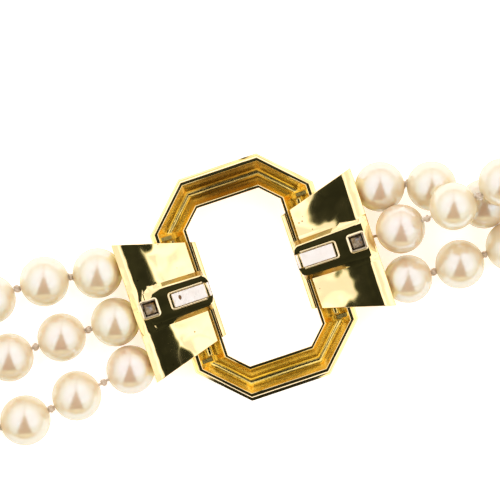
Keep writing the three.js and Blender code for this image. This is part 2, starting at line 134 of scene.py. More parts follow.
CLASP = middle_of("octagonal_link")


# ---------------------------------------------------------------- small tools
def linear(hex_colour):
    """An sRGB hex colour as linear RGBA."""
    channels = [int(hex_colour[i : i + 2], 16) / 255 for i in (1, 3, 5)]
    return [c / 12.92 if c <= 0.04045 else ((c + 0.055) / 1.055) ** 2.4 for c in channels] + [1.0]


def add_node(tree, kind, inputs=None, **settings):
    """Adds a node, sets its properties, and gives each named input a value or a link."""
    made = tree.nodes.new(kind)
    for name, value in settings.items():
        setattr(made, name, value)
    for name, value in (inputs or {}).items():
        socket = made.inputs[name]
        if isinstance(value, bpy.types.NodeSocket):
            tree.links.new(value, socket)
        else:
            socket.default_value = value
    return made


def new_material(name):
    material = bpy.data.materials.new(name)
    material.use_nodes = True
    material.node_tree.nodes.clear()
    return material, material.node_tree


def per_mm(size_mm):
    """A noise scale whose features are about this many millimetres across, on coordinates in metres."""
    return 1 / (size_mm * MM)


# ---------------------------------------------------------------- materials
def polished_gold(name, waviness):
    """18 ct yellow gold, pressed and mirror-polished: clean dark and bright reflections that wander a
    little, because a polished sheet is never flat, under fine wear scratches and a few pits. The pits
    and pin holes are painted dark brown, as painted shade in holes that are not modelled. The
    scratches are 3 mm long, and drawn 0.25 mm apart, coarser than real ones, so that they show."""
    material, tree = new_material(name)
    place = add_node(tree, "ShaderNodeTexCoord").outputs["Object"]
    along = add_node(
        tree, "ShaderNodeMapping", {"Vector": place, "Rotation": (0, 0, 0.5), "Scale": (1, 12, 12)}
    )
    scratches = add_node(
        tree,
        "ShaderNodeTexNoise",
        {"Vector": along.outputs[0], "Scale": per_mm(3), "Detail": 6, "Roughness": 0.7},
    )
    haze = add_node(tree, "ShaderNodeTexNoise", {"Vector": place, "Scale": per_mm(2.5), "Detail": 4})
    waves = add_node(tree, "ShaderNodeTexNoise", {"Vector": place, "Scale": per_mm(3.4), "Detail": 1.0})
    height = 0.0
    for x, y, radius, rise in FULL_PLACES:
        top = (CLASP.x + x * MM, CLASP.y + y * MM, PLATE_MIDDLE * MM)
        away = add_node(tree, "ShaderNodeVectorMath", {0: place, 1: top}, operation="DISTANCE")
        swell = add_node(
            tree,
            "ShaderNodeMapRange",
            {"Value": away.outputs["Value"], "From Max": radius * MM, "To Min": rise, "To Max": 0.0},
            interpolation_type="SMOOTHSTEP",
        )
        height = add_node(tree, "ShaderNodeMath", {0: swell.outputs[0], 1: height}).outputs[0]
    # Pits and pin holes are painted dark brown: painted shade in holes that are not modelled.
    grains = add_node(tree, "ShaderNodeTexVoronoi", {"Vector": place, "Scale": per_mm(1.6)})
    grain = {"Value": grains.outputs["Distance"], "From Min": 0.03, "From Max": 0.07}
    pits = add_node(tree, "ShaderNodeMapRange", {**grain, "To Min": 1.0, "To Max": 0.0}).outputs[0]
    flat = add_node(tree, "ShaderNodeVectorMath", {0: place, 1: (1, 1, 0)}, operation="MULTIPLY")
    for x, y in PIN_HOLES:
        spot = {0: flat.outputs[0], 1: (CLASP.x + x * MM, CLASP.y + y * MM, 0)}
        away = add_node(tree, "ShaderNodeVectorMath", spot, operation="DISTANCE").outputs["Value"]
        hole = add_node(tree, "ShaderNodeMath", {0: away, 1: PIN_HOLE_R * MM}, operation="LESS_THAN")
        pits = add_node(tree, "ShaderNodeMath", {0: hole.outputs[0], 1: pits}, operation="MAXIMUM").outputs[0]
    roughness = add_node(
        tree,
        "ShaderNodeMapRange",
        {"Value": haze.outputs["Fac"], "From Min": 0.3, "From Max": 0.75, "To Min": 0.04, "To Max": 0.1},
    )
    tone = add_node(
        tree,
        "ShaderNodeMix",
        {"Factor": haze.outputs["Fac"], "A": linear("#ffe7a6"), "B": linear("#ffe29a")},
        data_type="RGBA",
    )
    pitted_and_shaded = add_node(
        tree,
        "ShaderNodeMix",
        {"Factor": pits, "A": tone.outputs["Result"], "B": linear("#8a6428")},
        data_type="RGBA",
    )
    full = add_node(tree, "ShaderNodeBump", {"Height": height, "Strength": 1.0, "Distance": 1.0 * MM})
    wavy = add_node(
        tree,
        "ShaderNodeBump",
        {
            "Height": waves.outputs["Fac"],
            "Strength": waviness,
            "Distance": 0.11 * MM,
            "Normal": full.outputs[0],
        },
    )
    worn = add_node(
        tree,
        "ShaderNodeBump",
        {
            "Height": scratches.outputs["Fac"],
            "Strength": 0.2,
            "Distance": 0.005 * MM,
            "Normal": wavy.outputs[0],
        },
    )
    shader = add_node(
        tree,
        "ShaderNodeBsdfPrincipled",
        {
            "Base Color": pitted_and_shaded.outputs["Result"],
            "Metallic": 1.0,
            "Roughness": roughness.outputs[0],
            "Normal": worn.outputs[0],
        },
    )
    add_node(tree, "ShaderNodeOutputMaterial", {"Surface": shader.outputs[0]})
    return material


def unpolished_gold(name, light, deep):
    """The same gold where no polishing wheel reaches: a softer, deeper amber sheen with the uneven
    skin of the pressing. On the steep sides of the pads, its darker olive colours are painted shade."""
    material, tree = new_material(name)
    place = add_node(tree, "ShaderNodeTexCoord").outputs["Object"]
    skin = add_node(tree, "ShaderNodeTexNoise", {"Vector": place, "Scale": per_mm(1.1), "Detail": 4})
    stain = add_node(tree, "ShaderNodeTexNoise", {"Vector": place, "Scale": per_mm(4), "Detail": 3})
    roughness = add_node(
        tree, "ShaderNodeMapRange", {"Value": stain.outputs["Fac"], "To Min": 0.16, "To Max": 0.34}
    )
    # The gold is painted darker round one stretch of the channel, near its upper end.
    x, y, z, radius = DARKER_STRETCH
    centre = (CLASP.x + x * MM, CLASP.y + y * MM, z * MM)
    away = add_node(tree, "ShaderNodeVectorMath", {0: place, 1: centre}, operation="DISTANCE")
    darker_stretch = add_node(
        tree,
        "ShaderNodeMapRange",
        {
            "Value": away.outputs["Value"],
            "From Min": 0.4 * radius * MM,
            "From Max": radius * MM,
            "To Min": 1.0,
            "To Max": 0.0,
        },
    )
    clean = add_node(
        tree,
        "ShaderNodeMix",
        {"Factor": stain.outputs["Fac"], "A": linear(light), "B": linear(deep)},
        data_type="RGBA",
    )
    tone = add_node(
        tree,
        "ShaderNodeMix",
        {"Factor": darker_stretch.outputs[0], "A": clean.outputs["Result"], "B": linear("#d6b561")},
        data_type="RGBA",
    )
    bump = add_node(
        tree, "ShaderNodeBump", {"Height": skin.outputs["Fac"], "Strength": 0.5, "Distance": 0.1 * MM}
    )
    shader = add_node(
        tree,
        "ShaderNodeBsdfPrincipled",
        {
            "Base Color": tone.outputs["Result"],
            "Metallic": 1.0,
            "Roughness": roughness.outputs[0],
            "Normal": bump.outputs[0],
        },
    )
    add_node(tree, "ShaderNodeOutputMaterial", {"Surface": shader.outputs[0]})
    return material


def burnished_gold_painted_highlight():
    """The same gold on the thin rims round the stones and slots, rubbed by wear to a soft sheen: bright
    from every side, where a mirror polish would show dark lines. Its paler cream colour is a painted
    highlight."""
    material, tree = new_material("yellow_gold_burnished_painted_highlight")
    place = add_node(tree, "ShaderNodeTexCoord").outputs["Object"]
    wear = add_node(tree, "ShaderNodeTexNoise", {"Vector": place, "Scale": per_mm(0.8), "Detail": 3})
    roughness = add_node(
        tree, "ShaderNodeMapRange", {"Value": wear.outputs["Fac"], "To Min": 0.2, "To Max": 0.4}
    )
    tone = add_node(
        tree,
        "ShaderNodeMix",
        {"Factor": wear.outputs["Fac"], "A": linear("#fff0c4"), "B": linear("#ffe9b4")},
        data_type="RGBA",
    )
    shader = add_node(
        tree,
        "ShaderNodeBsdfPrincipled",
        {"Base Color": tone.outputs["Result"], "Metallic": 1.0, "Roughness": roughness.outputs[0]},
    )
    add_node(tree, "ShaderNodeOutputMaterial", {"Surface": shader.outputs[0]})
    return material


def brushed_white_gold():
    """White gold, finely brushed across: nearly white, because the fine grooves throw light from both
    sides towards the eye. The grooves are drawn 0.1 mm apart, coarser than real ones, so that they show."""
    material, tree = new_material("white_gold_brushed")
    place = add_node(tree, "ShaderNodeTexCoord").outputs["Object"]
    across = add_node(tree, "ShaderNodeMapping", {"Vector": place, "Scale": (20, 1, 1)})
    lines = add_node(
        tree, "ShaderNodeTexNoise", {"Vector": across.outputs[0], "Scale": per_mm(2), "Detail": 3}
    )
    wear = add_node(tree, "ShaderNodeTexNoise", {"Vector": place, "Scale": per_mm(1.2), "Detail": 4})
    roughness = add_node(
        tree, "ShaderNodeMapRange", {"Value": wear.outputs["Fac"], "To Min": 0.3, "To Max": 0.5}
    )
    tone = add_node(
        tree,
        "ShaderNodeMix",
        {"Factor": wear.outputs["Fac"], "A": linear("#fffbe8"), "B": linear("#fcf3dc")},
        data_type="RGBA",
    )
    # A ragged brown spot is painted on the left tongue.
    x, y = BROWN_SPOT
    narrowed = add_node(tree, "ShaderNodeVectorMath", {0: place, 1: (2, 1, 0)}, operation="MULTIPLY")
    spot = (2 * (CLASP.x + x * MM), CLASP.y + y * MM, 0)
    away = add_node(tree, "ShaderNodeVectorMath", {0: narrowed.outputs[0], 1: spot}, operation="DISTANCE")
    ragged = add_node(
        tree, "ShaderNodeMath", {0: wear.outputs["Fac"], 1: BROWN_SPOT_SIZE * MM}, operation="MULTIPLY"
    )
    in_brown_spot = add_node(
        tree, "ShaderNodeMath", {0: away.outputs["Value"], 1: ragged.outputs[0]}, operation="LESS_THAN"
    )
    spotted = add_node(
        tree,
        "ShaderNodeMix",
        {"Factor": in_brown_spot.outputs[0], "A": tone.outputs["Result"], "B": linear("#7a5a38")},
        data_type="RGBA",
    )
    bump = add_node(
        tree, "ShaderNodeBump", {"Height": lines.outputs["Fac"], "Strength": 1.0, "Distance": 0.08 * MM}
    )
    shader = add_node(
        tree,
        "ShaderNodeBsdfPrincipled",
        {
            "Base Color": spotted.outputs["Result"],
            "Metallic": 0.8,
            "Roughness": roughness.outputs[0],
            "Normal": bump.outputs[0],
        },
    )
    add_node(tree, "ShaderNodeOutputMaterial", {"Surface": shader.outputs[0]})
    return material


def nacre():
    """Cultured pearl nacre, grown in thin layers that together mirror far more than one surface: a
    cool soft mirror over a warm body, cream towards the rim. Each pearl has its own tint."""
    material, tree = new_material("cultured_pearl_nacre")
    place = add_node(tree, "ShaderNodeTexCoord").outputs["Object"]
    tint = add_node(tree, "ShaderNodeAttribute", attribute_name="tint")
    clouds = add_node(tree, "ShaderNodeTexNoise", {"Vector": place, "Scale": per_mm(2.4), "Detail": 3})
    body = add_node(
        tree,
        "ShaderNodeMix",
        {"Factor": tint.outputs["Fac"], "A": linear("#ffdaa2"), "B": linear("#fdcfa6")},
        data_type="RGBA",
    )
    cloudy = add_node(
        tree,
        "ShaderNodeMix",
        {"Factor": clouds.outputs["Fac"], "A": body.outputs["Result"], "B": linear("#f8d8ac")},
        data_type="RGBA",
    )
    roughness = add_node(
        tree, "ShaderNodeMapRange", {"Value": clouds.outputs["Fac"], "To Min": 0.16, "To Max": 0.28}
    )
    bump = add_node(
        tree, "ShaderNodeBump", {"Height": clouds.outputs["Fac"], "Strength": 0.3, "Distance": 0.03 * MM}
    )
    shader = add_node(
        tree,
        "ShaderNodeBsdfPrincipled",
        {
            "Base Color": cloudy.outputs["Result"],
            "Roughness": roughness.outputs[0],
            "IOR": 2.45,
            "Specular IOR Level": 1.0,
            "Specular Tint": linear("#d6fcfb"),
            "Subsurface Weight": 0.3,
            "Subsurface Radius": (1.0, 0.7, 0.5),
            "Subsurface Scale": 1.0 * MM,
            "Normal": bump.outputs[0],
        },
    )
    add_node(tree, "ShaderNodeOutputMaterial", {"Surface": shader.outputs[0]})
    return material


def twisted_silk():
    """Twisted silk thread, knotted by hand: cream, matt, with the fine ridges of its plies, drawn
    0.25 mm apart, coarser than real ones, so that they show. The grooves between the plies are
    painted darker and their ridges paler: painted shade."""
    material, tree = new_material("silk_thread_twisted")
    place = add_node(tree, "ShaderNodeTexCoord").outputs["Object"]
    plies = add_node(tree, "ShaderNodeTexNoise", {"Vector": place, "Scale": per_mm(0.25), "Detail": 4})
    # Darker where the plies sink and paler where they rise: painted shade.
    tone = add_node(
        tree,
        "ShaderNodeMix",
        {"Factor": plies.outputs["Fac"], "A": linear("#c9b08a"), "B": linear("#f3e7cc")},
        data_type="RGBA",
    )
    bump = add_node(
        tree, "ShaderNodeBump", {"Height": plies.outputs["Fac"], "Strength": 0.6, "Distance": 0.05 * MM}
    )
    shader = add_node(
        tree,
        "ShaderNodeBsdfPrincipled",
        {
            "Base Color": tone.outputs["Result"],
            "Roughness": 0.75,
            "Sheen Weight": 0.3,
            "Normal": bump.outputs[0],
        },
    )
    add_node(tree, "ShaderNodeOutputMaterial", {"Surface": shader.outputs[0]})
    return material


def cut_stone():
    """Clear square-cut stone in a closed setting, seen from behind: cloudy grey-violet facets, all of
    it painted light. Dark grey is painted shade deep in its well, the pale patches are painted
    sparkle, and brown is a painted reflection of the gold round it."""
    material, tree = new_material("square_cut_stone_painted_light")
    place = add_node(tree, "ShaderNodeTexCoord").outputs["Object"]
    shade_and_sparkle_cells = add_node(tree, "ShaderNodeTexVoronoi", {"Vector": place, "Scale": per_mm(0.45)})
    clouds = add_node(tree, "ShaderNodeTexNoise", {"Vector": place, "Scale": per_mm(0.7), "Detail": 2})
    # Painted shade and painted sparkle, in patches like facets.
    cool = add_node(
        tree,
        "ShaderNodeMix",
        {"Factor": shade_and_sparkle_cells.outputs["Distance"], "A": linear("#55565f"), "B": linear("#cfd0d6")},
        data_type="RGBA",
    )
    # Brown clouds: a painted reflection of the gold round the stone.
    tone = add_node(
        tree,
        "ShaderNodeMix",
        {"Factor": clouds.outputs["Fac"], "A": cool.outputs["Result"], "B": linear("#8d8678")},
        data_type="RGBA",
    )
    shader = add_node(
        tree,
        "ShaderNodeBsdfPrincipled",
        {"Base Color": tone.outputs["Result"], "Metallic": 0.15, "Roughness": 0.12, "IOR": 2.0},
    )
    add_node(tree, "ShaderNodeOutputMaterial", {"Surface": shader.outputs[0]})
    return material


GOLD = polished_gold("yellow_gold_polished", 0.9)
# The narrow rims of the link are truer than the plates, so they mirror straight dark lines.
GOLD_EDGE = polished_gold("yellow_gold_polished_edge", 0.1)
GOLD_INSIDE = unpolished_gold("yellow_gold_as_pressed", "#fbe281", "#f2d26c")
# The steep sides of the pads are painted a darker olive gold: painted shade and a painted reflection of the
# plates beside them.
GOLD_PAINTED_SHADE = unpolished_gold("yellow_gold_painted_shade", "#bca261", "#ad8f4f")
# The rims round the stones and slots are painted a paler cream: a painted highlight on burnished gold.
GOLD_RIM = burnished_gold_painted_highlight()
WHITE_GOLD = brushed_white_gold()
NACRE = nacre()
SILK = twisted_silk()
STONE = cut_stone()


# ---------------------------------------------------------------- modelling tools
def deselect():
    if bpy.context.object and bpy.context.object.mode != "OBJECT":
        bpy.ops.object.mode_set(mode="OBJECT")
    bpy.ops.object.select_all(action="DESELECT")


def take_up(obj):
    deselect()
    obj.select_set(True)
    bpy.context.view_layer.objects.active = obj


def settle(obj, name, material, slot, *replaced, body="necklace"):
    """Names a finished piece, gives it its finish and lets it ride with a body."""
    obj.name = name
    obj.data.materials.clear()
    obj.data.materials.append(material)
    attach(obj, body)
    if replaced:
        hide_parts(*replaced)


def apply_modifier(obj, kind, **settings):
    modifier = obj.modifiers.new(kind.title(), kind)
    for name, value in settings.items():
        setattr(modifier, name, value)
    take_up(obj)
    bpy.ops.object.modifier_apply(modifier=modifier.name)


def merged_copy(node, cuts=()):
    """A copy of a CAD node as one closed mesh, with its flat faces whole again, but parted where the
    planes cut it, so that no face has a hole in it."""
    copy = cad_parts[node].copy()
    copy.data = copy.data.copy()
    copy.parent = None
    # What the frame notes on a CAD node doesn't hold for its copy.
    for key in list(copy.keys()):
        del copy[key]
    bpy.context.scene.collection.objects.link(copy)
    take_up(copy)
    bpy.ops.mesh.customdata_custom_splitnormals_clear()
    bpy.ops.object.mode_set(mode="EDIT")
    bpy.ops.mesh.select_all(action="SELECT")
    bpy.ops.mesh.remove_doubles(threshold=0.001 * MM)
    for point, normal in cuts:
        bpy.ops.mesh.select_all(action="SELECT")
        bpy.ops.mesh.bisect(plane_co=point, plane_no=normal)
        bpy.ops.mesh.mark_seam()
    bpy.ops.mesh.select_all(action="SELECT")
    bpy.ops.mesh.dissolve_limited(angle_limit=math.radians(0.5), delimit={"SEAM"})
    bpy.ops.object.mode_set(mode="OBJECT")
    return copy


# ---------------------------------------------------------------- the clasp
def rounded_edges(piece, width_mm, chosen, segments=3):
    """Rounds the sharp edges of a piece that have both their ends chosen."""
    take_up(piece)
    bpy.ops.object.mode_set(mode="EDIT")
    bpy.ops.mesh.select_mode(type="EDGE")
    bpy.ops.mesh.select_all(action="DESELECT")
    bpy.ops.mesh.edges_select_sharp(sharpness=math.radians(28))
    bpy.ops.object.mode_set(mode="OBJECT")
    points = piece.data.vertices
    wanted = [e.select and all(chosen(points[v].co) for v in e.vertices) for e in piece.data.edges]
    for part in (piece.data.polygons, piece.data.edges, piece.data.vertices):
        part.foreach_set("select", [False] * len(part))
    piece.data.edges.foreach_set("select", wanted)
    bpy.ops.object.mode_set(mode="EDIT")
    bpy.ops.mesh.bevel(offset=width_mm * MM, segments=segments, affect="EDGES", clamp_overlap=False)
    bpy.ops.object.mode_set(mode="OBJECT")


def smoothed(piece):
    """Bevels shaded round, broad faces shaded flat."""
    take_up(piece)
    bpy.ops.object.shade_smooth_by_angle(angle=math.radians(28))
    apply_modifier(piece, "WEIGHTED_NORMAL", keep_sharp=True)
    return piece


def rim_share(point):
    """Where a point of the link lies between its rims on plan: 0 at the inner one, 1 at the outer one."""
    x = abs(point.x - CLASP.x) / MM
    y = abs(point.y - CLASP.y) / MM
    spans = ((x, RIM_SIDES), (y, RIM_ENDS), (x + y, RIM_CUTS))
    return max((value - inner) / (outer - inner) for value, (inner, outer) in spans)


def at_height(point, height):
    """True for a point at this height in mm, give or take."""
    return abs(point.z - height * MM) < 0.05 * MM


def finished_link():
    link = merged_copy("octagonal_link", cuts=[(CLASP, (1, 0, 0)), (CLASP, (0, 1, 0))])
    for vertex in link.data.vertices:
        if at_height(vertex.co, LINK_STEP):
            vertex.co.z += STEP_RAISED * MM
    rounded_edges(link, 0.38, lambda co: at_height(co, CHANNEL_FLOOR), segments=5)
    rounded_edges(link, 0.07, lambda co: at_height(co, LINK_RIM) or at_height(co, LINK_FRONT))
    settle(smoothed(link), "link", GOLD_EDGE, "yellow_gold", "octagonal_link")
    link.data.materials.append(GOLD_INSIDE)
    near, far = CHANNEL_SHARES
    low, high = CHANNEL_HEIGHTS
    for face in link.data.polygons:
        inside = near < rim_share(face.center) < far and low * MM < face.center.z < high * MM
        if inside and face.normal.z > 0.05:
            face.material_index = 1


def shape_left_pad(terminal):
    """The pearl end of the left pad: level as far as the stone, then folded down to the pearls, with its
    upper corner pressed down."""
    fold_out, fold_across, fold_reach = FOLD_LINE
    for vertex in terminal.data.vertices:
        out = (CLASP.x - vertex.co.x) / MM
        across = (vertex.co.y - CLASP.y) / MM
        fallen = PAD_TOP * MM - max(0, out - FALL_START) * FALL * MM
        on_top = fallen - 0.1 * MM <= vertex.co.z <= PAD_TOP * MM
        if out < FALL_START - 0.05 or abs(across) > LEFT_PAD_HALF or not on_top:
            continue
        past_fold = max(0, out - FOLD_START)
        past_corner = max(0, fold_out * out + fold_across * across - fold_reach)
        vertex.co.z += PAD_TOP * MM - fallen
        vertex.co.z -= past_fold * FOLD_FALL * MM
        vertex.co.z -= past_corner * CORNER_FALL * MM


def finished_terminal(side):
    node = f"{side}_terminal"
    middle = middle_of(node)
    well = middle_of(f"{side}_stone")
    holes = Vector((0, 0, HOLE_Z))
    cuts = [(well, (0, 1, 0)), (well, (1, 0, 0)), (holes, (0, 0, 1))]
    cuts += [(middle + Vector((0, foot, 0)) * MM, (0, 1, 0)) for foot in (-PAD_FOOT, PAD_FOOT)]
    if side == "left":
        cuts += [(CLASP + Vector(point) * MM, direction) for point, direction in LEFT_PAD_FOLDS]
    terminal = merged_copy(node, cuts=cuts)
    if side == "left":
        shape_left_pad(terminal)

    def on_lip(co):
        low, high = LIP_HEIGHTS
        return abs(co.x - CLASP.x) < LIP_REACH * MM and low * MM < co.z < high * MM

    def on_plate(co):
        return abs(co.y - middle.y) > (PAD_FOOT - 0.05) * MM and co.z > PLATE_UNDER * MM

    def on_collet(co):
        return co.z > COLLET_EDGE * MM

    rounded_edges(terminal, 0.1, on_lip)
    rounded_edges(terminal, 0.1, on_plate)
    rounded_edges(terminal, 0.13, on_collet)
    settle(smoothed(terminal), f"terminal_{side}", GOLD, "yellow_gold", node)
    terminal.data.materials.append(GOLD_PAINTED_SHADE)
    terminal.data.materials.append(GOLD_RIM)
    # The steep sides beside the slot take the darker olive gold: painted shade.
    near, far = SKIRT_ACROSS
    low, high = SKIRT_HEIGHTS
    for face in terminal.data.polygons:
        beside_pad = near * MM < abs(face.center.y - middle.y) < far * MM
        beside_slot = abs(face.center.x - CLASP.x) < SKIRT_REACH * MM
        steep = 0.25 < face.normal.z < 0.93 and abs(face.normal.y) > 0.3
        if beside_pad and beside_slot and steep and low * MM < face.center.z < high * MM:
            face.material_index = 1
        # The collet's upper edge takes the paler rim gold, with its painted highlight.
        if face.center.z > COLLET_FROM * MM:
            face.material_index = 2


def slot_rim(side):
    """The raised rim round a tongue's slot, open at the link, with round corners."""
    middle = middle_of(f"{side}_terminal")
    out = OUTWARDS[side]
    far = SLOT_END + 0.3
    half = SLOT_HALF + 0.2
    corner, width, height, rounding = 0.5, 0.24, 0.14, 0.11
    open_from = SLOT_NEAR + 0.4
    centre = CLASP.x + out * (SLOT_NEAR + far) / 2 * MM
    deselect()
    bpy.ops.mesh.primitive_plane_add(size=1, location=(centre, middle.y, (PAD_TOP - 0.02) * MM))
    rim = bpy.context.object
    for vertex in rim.data.vertices:
        vertex.co.x *= (far - SLOT_NEAR) * MM
        vertex.co.y *= 2 * half * MM
    bpy.ops.object.transform_apply(location=True, rotation=True, scale=True)
    for vertex in rim.data.vertices:
        vertex.select = out * (vertex.co.x - CLASP.x) > SLOT_END * MM
    bpy.ops.object.mode_set(mode="EDIT")
    bpy.ops.mesh.select_mode(type="VERT")
    bpy.ops.mesh.bevel(offset=corner * MM, affect="VERTICES", segments=5)
    bpy.ops.mesh.select_all(action="SELECT")
    bpy.ops.mesh.inset(thickness=width * MM, use_boundary=True)
    bpy.ops.mesh.delete(type="FACE")
    apply_modifier(rim, "SOLIDIFY", thickness=height * MM, offset=1.0)
    rounded_edges(rim, rounding, lambda co: co.z > (PAD_TOP + 0.08) * MM, segments=4)
    take_up(rim)
    bpy.ops.object.mode_set(mode="EDIT")
    bpy.ops.mesh.select_all(action="SELECT")
    bpy.ops.mesh.bisect(
        plane_co=(CLASP.x + out * open_from * MM, 0, 0),
        plane_no=(-out, 0, 0),
        clear_outer=True,
        use_fill=True,
    )
    bpy.ops.mesh.select_all(action="SELECT")
    bpy.ops.mesh.normals_make_consistent(inside=False)
    bpy.ops.object.mode_set(mode="OBJECT")
    bpy.ops.object.shade_smooth_by_angle(angle=math.radians(50))
    settle(rim, f"slot_rim_{side}", GOLD_RIM, "yellow_gold")


def finished_tongue(side):
    """The white bar, with the gold floor of its groove showing."""
    node = f"{side}_tongue"
    out = OUTWARDS[side]
    tongue = merged_copy(node)
    rounded_edges(tongue, 0.06, lambda co: True)
    smoothed(tongue)
    near, between, far = GROOVE_SPANS
    towards_link, away = GROOVE_WIDENED
    for vertex in tongue.data.vertices:
        reach = out * (vertex.co.x - CLASP.x) / MM
        if near < reach < between:
            vertex.co.x -= out * towards_link * MM
        elif between < reach < far:
            vertex.co.x += out * away * MM
    settle(tongue, f"tongue_{side}", WHITE_GOLD, "white_gold", node, body=f"{side}_release")
    tongue.data.materials.append(GOLD)
    near, far = GROOVE_FLOOR
    for face in tongue.data.polygons:
        reach = out * (face.center.x - CLASP.x) / MM
        if near < reach < far and face.normal.z > 0.7 and face.center.z < GROOVE_TOP * MM:
            face.material_index = 1


def finished_stone(side):
    """The stone, filling its well, with its broad faces broken into small uneven facets."""
    node = f"{side}_stone"
    stone = merged_copy(node)
    middle = middle_of(node)
    back_spread, body_spread, unevenness = 1.4, 1.08, 0.09
    for vertex in stone.data.vertices:
        spread = back_spread if at_height(vertex.co, STONE_BACK) else body_spread
        vertex.co.x = middle.x + spread * (vertex.co.x - middle.x)
        vertex.co.y = middle.y + spread * (vertex.co.y - middle.y)
    take_up(stone)
    bpy.ops.object.mode_set(mode="EDIT")
    bpy.ops.mesh.select_all(action="SELECT")
    bpy.ops.mesh.subdivide(number_cuts=2)
    bpy.ops.mesh.quads_convert_to_tris()
    bpy.ops.object.mode_set(mode="OBJECT")
    for vertex in stone.data.vertices:
        if vertex.co.z > (STONE_BACK - 0.05) * MM:
            vertex.co.z += dice.uniform(-unevenness, unevenness) * MM
    settle(stone, f"stone_{side}", STONE, "stone", node)


finished_link()
for side in ("right", "left"):
    finished_terminal(side)
    slot_rim(side)
    finished_tongue(side)
    finished_stone(side)


# ---------------------------------------------------------------- where the pearls are
def crests(node):
    """The pearls of a joined string, from the highest vertex of each: (centre, radius)."""
    lowest_crest = 0.93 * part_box(node)[1].z
    found = {}
    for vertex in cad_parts[node].data.vertices:
        if vertex.co.z > lowest_crest:
            key = (round(vertex.co.x / MM, 1), round(vertex.co.y / MM, 1))
            found[key] = vertex.co.copy()
    return [(Vector((co.x, co.y, co.z / 2)), co.z / 2) for co in found.values()]


def clockwise(pearls):
    """From +Y by +X round the loop."""
    return sorted(pearls, key=lambda pearl: math.atan2(pearl[0].x, pearl[0].y) % math.tau)


def single(strand, side, number):
    low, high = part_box(f"{strand}_{side}_pearl_{number}")
    return (low + high) / 2, (high.z - low.z) / 2


def strand_pearls(strand):
    """Every pearl of a strand, from the right terminal round to the left one."""
    numbers = range(1, SINGLE_PEARLS + 1)
    right = [single(strand, "right", n) for n in numbers]
    joined = []
    for i in range(STRETCHES):
        joined += clockwise(crests(f"{strand}_string_{i + 1}"))
    left = [single(strand, "left", n) for n in reversed(numbers)]
    return right + joined + left


def thread_hole(strand, side):
    terminal = middle_of(f"{side}_terminal")
    row = THREAD_HOLES[strand][side]
    return Vector((CLASP.x + OUTWARDS[side] * HOLE_X, terminal.y + row * HOLE_ROW_PITCH, HOLE_Z))


def frame_along(origin, direction, size=1.0):
    """A place whose Z runs along the silk."""
    along = direction.normalized()
    turn = along.to_track_quat("Z", "Y").to_matrix().to_4x4()
    return Matrix.Translation(origin) @ turn @ Matrix.Scale(size, 4)


def thread_along(middle, direction, half):
    """A place for a length of thread, from its middle and half its length."""
    return frame_along(middle, direction) @ Matrix.Diagonal((SILK_R, SILK_R, half, 1))


# ---------------------------------------------------------------- pearls
def drilled_pearl(segments, rings):
    """A pearl of radius 1 with the drill hole through its poles."""
    deselect()
    bpy.ops.mesh.primitive_uv_sphere_add(segments=segments, ring_count=rings, radius=1)
    pearl = bpy.context.object
    hole, depth = 0.1, 0.3
    for pole in (1, -1):
        bpy.ops.object.mode_set(mode="EDIT")
        bpy.ops.mesh.select_all(action="DESELECT")
        bpy.ops.object.mode_set(mode="OBJECT")
        for vertex in pearl.data.vertices:
            vertex.select = pole * vertex.co.z > 0.9999
        bpy.ops.object.mode_set(mode="EDIT")
        bpy.ops.mesh.select_mode(type="VERT")
        bpy.ops.mesh.bevel(offset=hole, offset_type="OFFSET", affect="VERTICES", segments=1)
        bpy.ops.mesh.extrude_region_move(TRANSFORM_OT_translate={"value": (0, 0, -depth * pole)})
        bpy.ops.object.mode_set(mode="OBJECT")
    take_up(pearl)
    bpy.ops.object.shade_smooth_by_angle(angle=math.radians(40))
    return pearl


def placed_copies(pattern, places, tints=None):
    """One piece of copies of a pattern, each at its place, and a pearl with its tint on its points."""
    copies = []
    for i, place in enumerate(places):
        mesh = pattern.data.copy()
        mesh.transform(place)
        if tints:
            tint = mesh.attributes.new("tint", "FLOAT", "POINT")
            tint.data.foreach_set("value", [tints[i]] * len(mesh.vertices))
        copies.append(bpy.data.objects.new("copy", mesh))
        bpy.context.scene.collection.objects.link(copies[-1])
    take_up(copies[0])
    for copy in copies[1:]:
        copy.select_set(True)
    if len(copies) > 1:
        bpy.ops.object.join()
    return copies[0]


def trefoil_knot():
    """An overhand knot in silk, 1 wide, on its thread along Z."""
    deselect()
    bpy.ops.curve.primitive_bezier_circle_add(radius=1)
    curve = bpy.context.object
    curve.data.splines.clear()
    spline = curve.data.splines.new("POLY")
    steps = 30
    loop, rise, thread_r = 0.11, 0.2, 0.2
    spline.points.add(steps - 1)
    for i in range(steps):
        t = math.tau * i / steps
        x = math.sin(t) + 2 * math.sin(2 * t)
        y = math.cos(t) - 2 * math.cos(2 * t)
        spline.points[i].co = (loop * x, loop * y, rise * -math.sin(3 * t), 1)
    spline.use_cyclic_u = True
    curve.data.dimensions = "3D"
    curve.data.bevel_depth = thread_r
    curve.data.bevel_resolution = 1
    bpy.ops.object.convert(target="MESH")
    knot = bpy.context.object
    bpy.ops.object.shade_smooth()
    return knot


def silk_stub():
    """A length of thread from -1 to 1 along Z, of radius 1."""
    deselect()
    bpy.ops.mesh.primitive_cylinder_add(vertices=10, radius=1, depth=2)
    stub = bpy.context.object
    bpy.ops.object.shade_smooth_by_angle(angle=math.radians(40))
    return stub


FINE_PEARL = drilled_pearl(56, 40)
PEARL = drilled_pearl(28, 20)
KNOT = trefoil_knot()
STUB = silk_stub()


OUT_OF_ROUND = (0.985, 0.985, 0.98)  # the least share of a pearl's size, across and along its hole
KNOT_SIZES = (0.95, 1.2)  # in mm
THREAD_IN_PEARL = 0.4 * MM
LEAD_HALF = 1.6 * MM  # of the thread between a terminal and its first pearl


